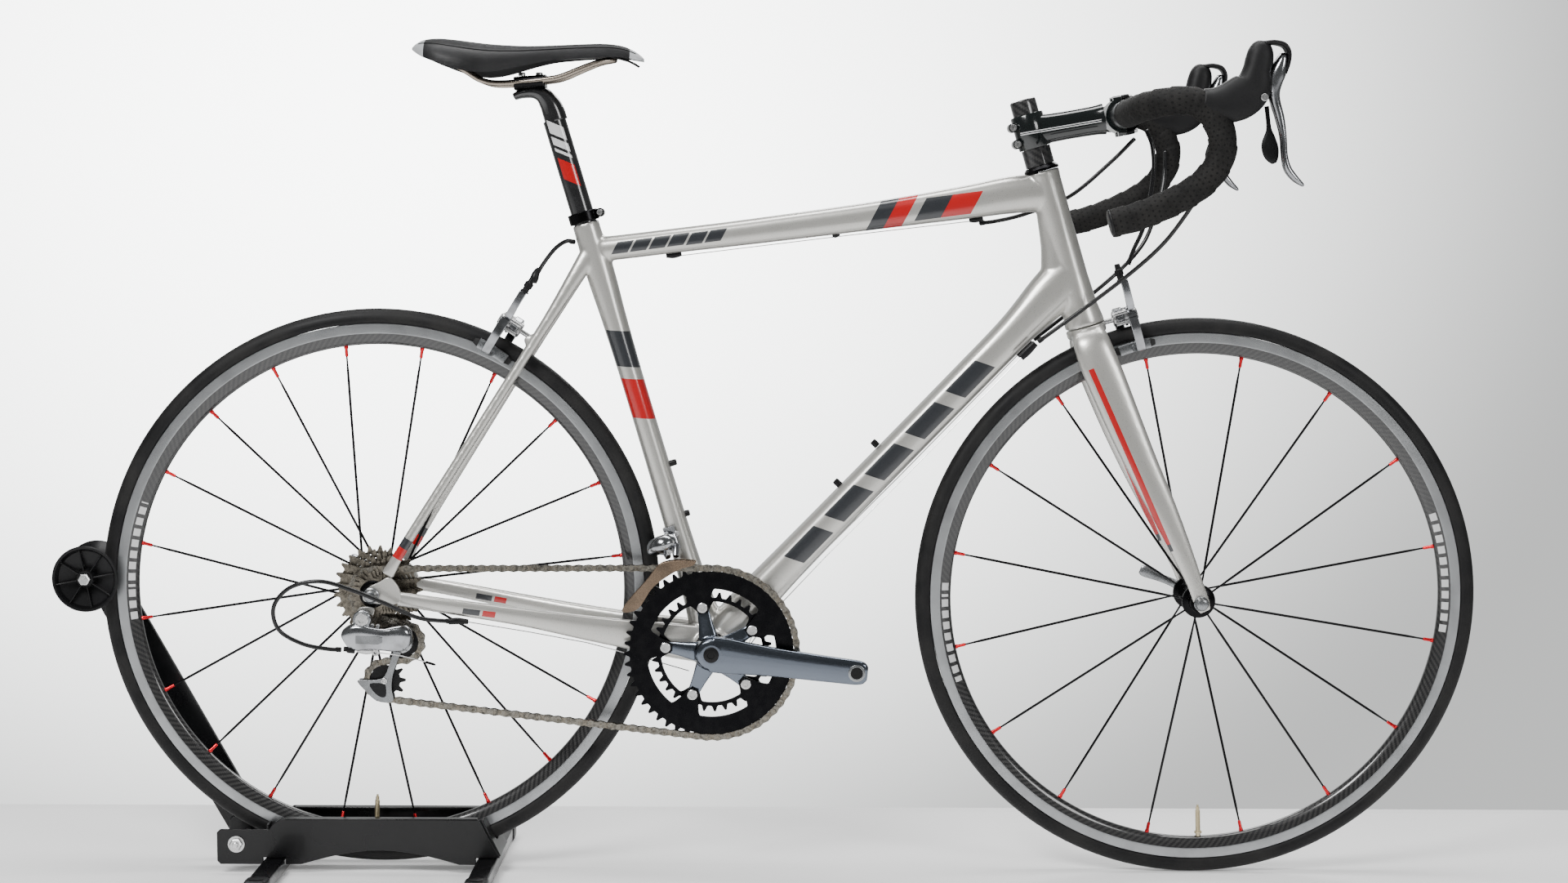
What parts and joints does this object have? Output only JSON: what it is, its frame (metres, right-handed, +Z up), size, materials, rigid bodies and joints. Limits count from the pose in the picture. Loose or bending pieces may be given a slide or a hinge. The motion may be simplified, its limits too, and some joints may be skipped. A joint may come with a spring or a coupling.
{
  "type": "bicycle on stand",
  "caption": "Drop-bar road bicycle with rim brakes and derailleur gears, its rear wheel held in a low folded-steel display stand with a roller arm.",
  "frame": {"origin": "centre of the whole object's bounding box in plan, at floor level", "axes": "+X to the front of the bicycle, +Y to its left, +Z up"},
  "size_m": [1.6967, 0.456, 0.9925],
  "materials": {
    "silver_paint": "gloss silver paint",
    "gloss_carbon": "gloss clear-coated carbon",
    "black_alloy": "black anodised",
    "polished_alloy": "polished",
    "nickel_steel": "nickel plated",
    "tyre_rubber": "matte rubber",
    "hood_rubber": "matte rubber",
    "bar_tape": "perforated cork tape",
    "saddle_cover": "smooth cover",
    "black_plastic": "satin moulded",
    "stand_steel": "gloss black powder coat",
    "titanium": "satin metal",
    "cable_sleeve": "satin sleeve"
  },
  "bodies": {
    "stand": {"stand_cradle": "stand_steel", "stand_foot_rear": "stand_steel", "stand_foot_front": "stand_steel", "stand_pivot_bolt": "nickel_steel"},
    "stand_arm": {"stand_arm": "stand_steel"},
    "roller": {"stand_roller": "black_plastic"},
    "bicycle": {"frame": "silver_paint", "seat_collar": "black_alloy", "derailleur_hanger": "silver_paint", "bottom_bracket": "black_alloy", "front_derailleur": "polished_alloy", "rear_derailleur": "polished_alloy", "derailleur_cage": "nickel_steel", "chain": "nickel_steel", "rear_axle": "polished_alloy", "rear_brake_cable": "cable_sleeve", "rear_shift_cable": "cable_sleeve", "rear_brake_bar_cable": "cable_sleeve", "shift_cable_left": "cable_sleeve", "shift_cable_right": "cable_sleeve"},
    "front_derailleur_cage": {"front_derailleur_cage": "nickel_steel"},
    "fork": {"fork": "silver_paint", "headset_stack": "gloss_carbon", "stem": "black_alloy", "stem_faceplate": "black_alloy", "handlebar": "black_alloy", "bar_tape_left": "bar_tape", "bar_tape_right": "bar_tape", "hood_left": "hood_rubber", "hood_right": "hood_rubber", "front_axle": "polished_alloy", "front_brake_cable": "cable_sleeve"},
    "front_wheel": {"front_hub": "black_alloy", "front_rim": "polished_alloy", "front_tyre": "tyre_rubber"},
    "rear_wheel": {"rear_hub": "black_alloy", "rear_rim": "polished_alloy", "rear_tyre": "tyre_rubber"},
    "cassette": {"cassette": "nickel_steel"},
    "crank": {"crank_right": "polished_alloy", "crank_left": "polished_alloy", "outer_chainring": "black_alloy", "inner_chainring": "nickel_steel"},
    "guide_pulley": {"guide_pulley": "black_plastic"},
    "tension_pulley": {"tension_pulley": "black_plastic"},
    "seat": {"seatpost": "gloss_carbon", "saddle_rails": "titanium", "saddle_base": "black_plastic", "saddle_pad": "saddle_cover"},
    "brake_lever_right": {"brake_lever_right": "polished_alloy"},
    "brake_lever_left": {"brake_lever_left": "polished_alloy"},
    "shift_paddle_right": {"shift_paddle_right": "black_plastic"},
    "shift_paddle_left": {"shift_paddle_left": "black_plastic"},
    "front_brake_arm_right": {"front_brake_arm_right": "polished_alloy"},
    "front_brake_arm_left": {"front_brake_arm_left": "polished_alloy"},
    "rear_brake_arm_right": {"rear_brake_arm_right": "polished_alloy"},
    "rear_brake_arm_left": {"rear_brake_arm_left": "polished_alloy"},
    "front_release_lever": {"front_release_lever": "polished_alloy"},
    "rear_release_lever": {"rear_release_lever": "polished_alloy"}
  },
  "joints": [
    {"name": "stand_arm_fold", "type": "hinge", "parent": "stand", "child": "stand_arm", "pos_m": [-0.6315, 0.04, 0.0366], "axis": [0, 1, 0], "range_deg": [-58, 0]},
    {"name": "roller_spin", "type": "hinge", "parent": "stand_arm", "child": "roller", "pos_m": [-0.8085, 0, 0.355], "axis": [0, 1, 0], "continuous": true},
    {"name": "bicycle_lift", "type": "slide", "parent": "stand", "child": "bicycle", "axis": [0, 0, 1], "range_m": [0, 0.35]},
    {"name": "front_derailleur_trim", "type": "slide", "parent": "bicycle", "child": "front_derailleur_cage", "axis": [0, 1, 0], "range_m": [0, 0.0018], "stiffness_N_per_m": 0.3, "springref_m": -0.002},
    {"name": "steering", "type": "hinge", "parent": "bicycle", "child": "fork", "pos_m": [0.3275, 0, 0.84], "axis": [-0.279, 0, 0.9603], "range_deg": [-60, 60], "deforming": ["shift_cable_left", "shift_cable_right", "rear_brake_bar_cable"]},
    {"name": "front_wheel_spin", "type": "hinge", "parent": "fork", "child": "front_wheel", "pos_m": [0.5145, 0, 0.334], "axis": [0, 1, 0], "continuous": true},
    {"name": "rear_wheel_spin", "type": "hinge", "parent": "bicycle", "child": "rear_wheel", "pos_m": [-0.4595, 0, 0.343], "axis": [0, 1, 0], "continuous": true},
    {"name": "crank_spin", "type": "hinge", "parent": "bicycle", "child": "crank", "pos_m": [-0.0615, 0, 0.272], "axis": [0, 1, 0], "continuous": true},
    {"name": "cassette_spin", "type": "hinge", "parent": "bicycle", "child": "cassette", "pos_m": [-0.4595, 0, 0.343], "axis": [0, 1, 0], "continuous": true},
    {"name": "guide_pulley_spin", "type": "hinge", "parent": "bicycle", "child": "guide_pulley", "pos_m": [-0.4265, -0.0485, 0.284], "axis": [0, 1, 0], "continuous": true},
    {"name": "tension_pulley_spin", "type": "hinge", "parent": "bicycle", "child": "tension_pulley", "pos_m": [-0.4485, -0.0485, 0.2385], "axis": [0, 1, 0], "continuous": true},
    {"name": "seat_height", "type": "slide", "parent": "bicycle", "child": "seat", "axis": [-0.2857, 0, 0.9583], "range_m": [-0.034, 0.02]},
    {"name": "brake_lever_right_pull", "type": "hinge", "parent": "fork", "child": "brake_lever_right", "pos_m": [0.548, -0.212, 0.9165], "axis": [0, 1, 0], "range_deg": [0, 24], "stiffness_Nm_per_rad": 0.5, "springref_deg": -17.19},
    {"name": "brake_lever_left_pull", "type": "hinge", "parent": "fork", "child": "brake_lever_left", "pos_m": [0.548, 0.212, 0.9165], "axis": [0, 1, 0], "range_deg": [0, 24], "stiffness_Nm_per_rad": 0.5, "springref_deg": -17.19},
    {"name": "shift_paddle_right_push", "type": "hinge", "parent": "brake_lever_right", "child": "shift_paddle_right", "pos_m": [0.5565, -0.1985, 0.912], "axis": [1, 0, 0], "range_deg": [0, 17], "stiffness_Nm_per_rad": 0.05, "springref_deg": -17.19},
    {"name": "shift_paddle_left_push", "type": "hinge", "parent": "brake_lever_left", "child": "shift_paddle_left", "pos_m": [0.5565, 0.1985, 0.912], "axis": [-1, 0, 0], "range_deg": [0, 17], "stiffness_Nm_per_rad": 0.05, "springref_deg": -17.19},
    {"name": "front_brake_right_close", "type": "hinge", "parent": "fork", "child": "front_brake_arm_right", "pos_m": [0.4275, 0, 0.669], "axis": [0.9603, 0, 0.279], "range_deg": [0, 1.5], "stiffness_Nm_per_rad": 0.2, "springref_deg": -5.73},
    {"name": "front_brake_left_close", "type": "hinge", "parent": "fork", "child": "front_brake_arm_left", "pos_m": [0.4275, 0, 0.669], "axis": [-0.9603, 0, -0.279], "range_deg": [0, 1.5], "stiffness_Nm_per_rad": 0.2, "springref_deg": -5.73},
    {"name": "rear_brake_right_close", "type": "hinge", "parent": "bicycle", "child": "rear_brake_arm_right", "pos_m": [-0.3025, 0, 0.658], "axis": [0.8453, 0, -0.5342], "range_deg": [0, 1.5], "stiffness_Nm_per_rad": 0.2, "springref_deg": -5.73},
    {"name": "rear_brake_left_close", "type": "hinge", "parent": "bicycle", "child": "rear_brake_arm_left", "pos_m": [-0.3025, 0, 0.658], "axis": [-0.8453, 0, 0.5342], "range_deg": [0, 1.5], "stiffness_Nm_per_rad": 0.2, "springref_deg": -5.73},
    {"name": "front_release_open", "type": "hinge", "parent": "fork", "child": "front_release_lever", "pos_m": [0.5145, 0.0745, 0.334], "axis": [-0.3771, 0, -0.9262], "range_deg": [0, 110]},
    {"name": "rear_release_open", "type": "hinge", "parent": "bicycle", "child": "rear_release_lever", "pos_m": [-0.4595, 0.0895, 0.343], "axis": [-0.3771, 0, -0.9262], "range_deg": [0, 110]}
  ],
  "couplings": [
    {"joint": "cassette_spin", "follows": "crank_spin", "ratio": 3.5714},
    {"joint": "guide_pulley_spin", "follows": "crank_spin", "ratio": -4.5455},
    {"joint": "tension_pulley_spin", "follows": "crank_spin", "ratio": 4.5455},
    {"joint": "front_brake_right_close", "follows": "brake_lever_left_pull", "ratio": 0.0625},
    {"joint": "front_brake_left_close", "follows": "brake_lever_left_pull", "ratio": 0.0625},
    {"joint": "rear_brake_right_close", "follows": "brake_lever_right_pull", "ratio": 0.0625},
    {"joint": "rear_brake_left_close", "follows": "brake_lever_right_pull", "ratio": 0.0625},
    {"joint": "front_derailleur_trim", "follows": "shift_paddle_left_push", "m_per_rad": 0.006067}
  ]
}
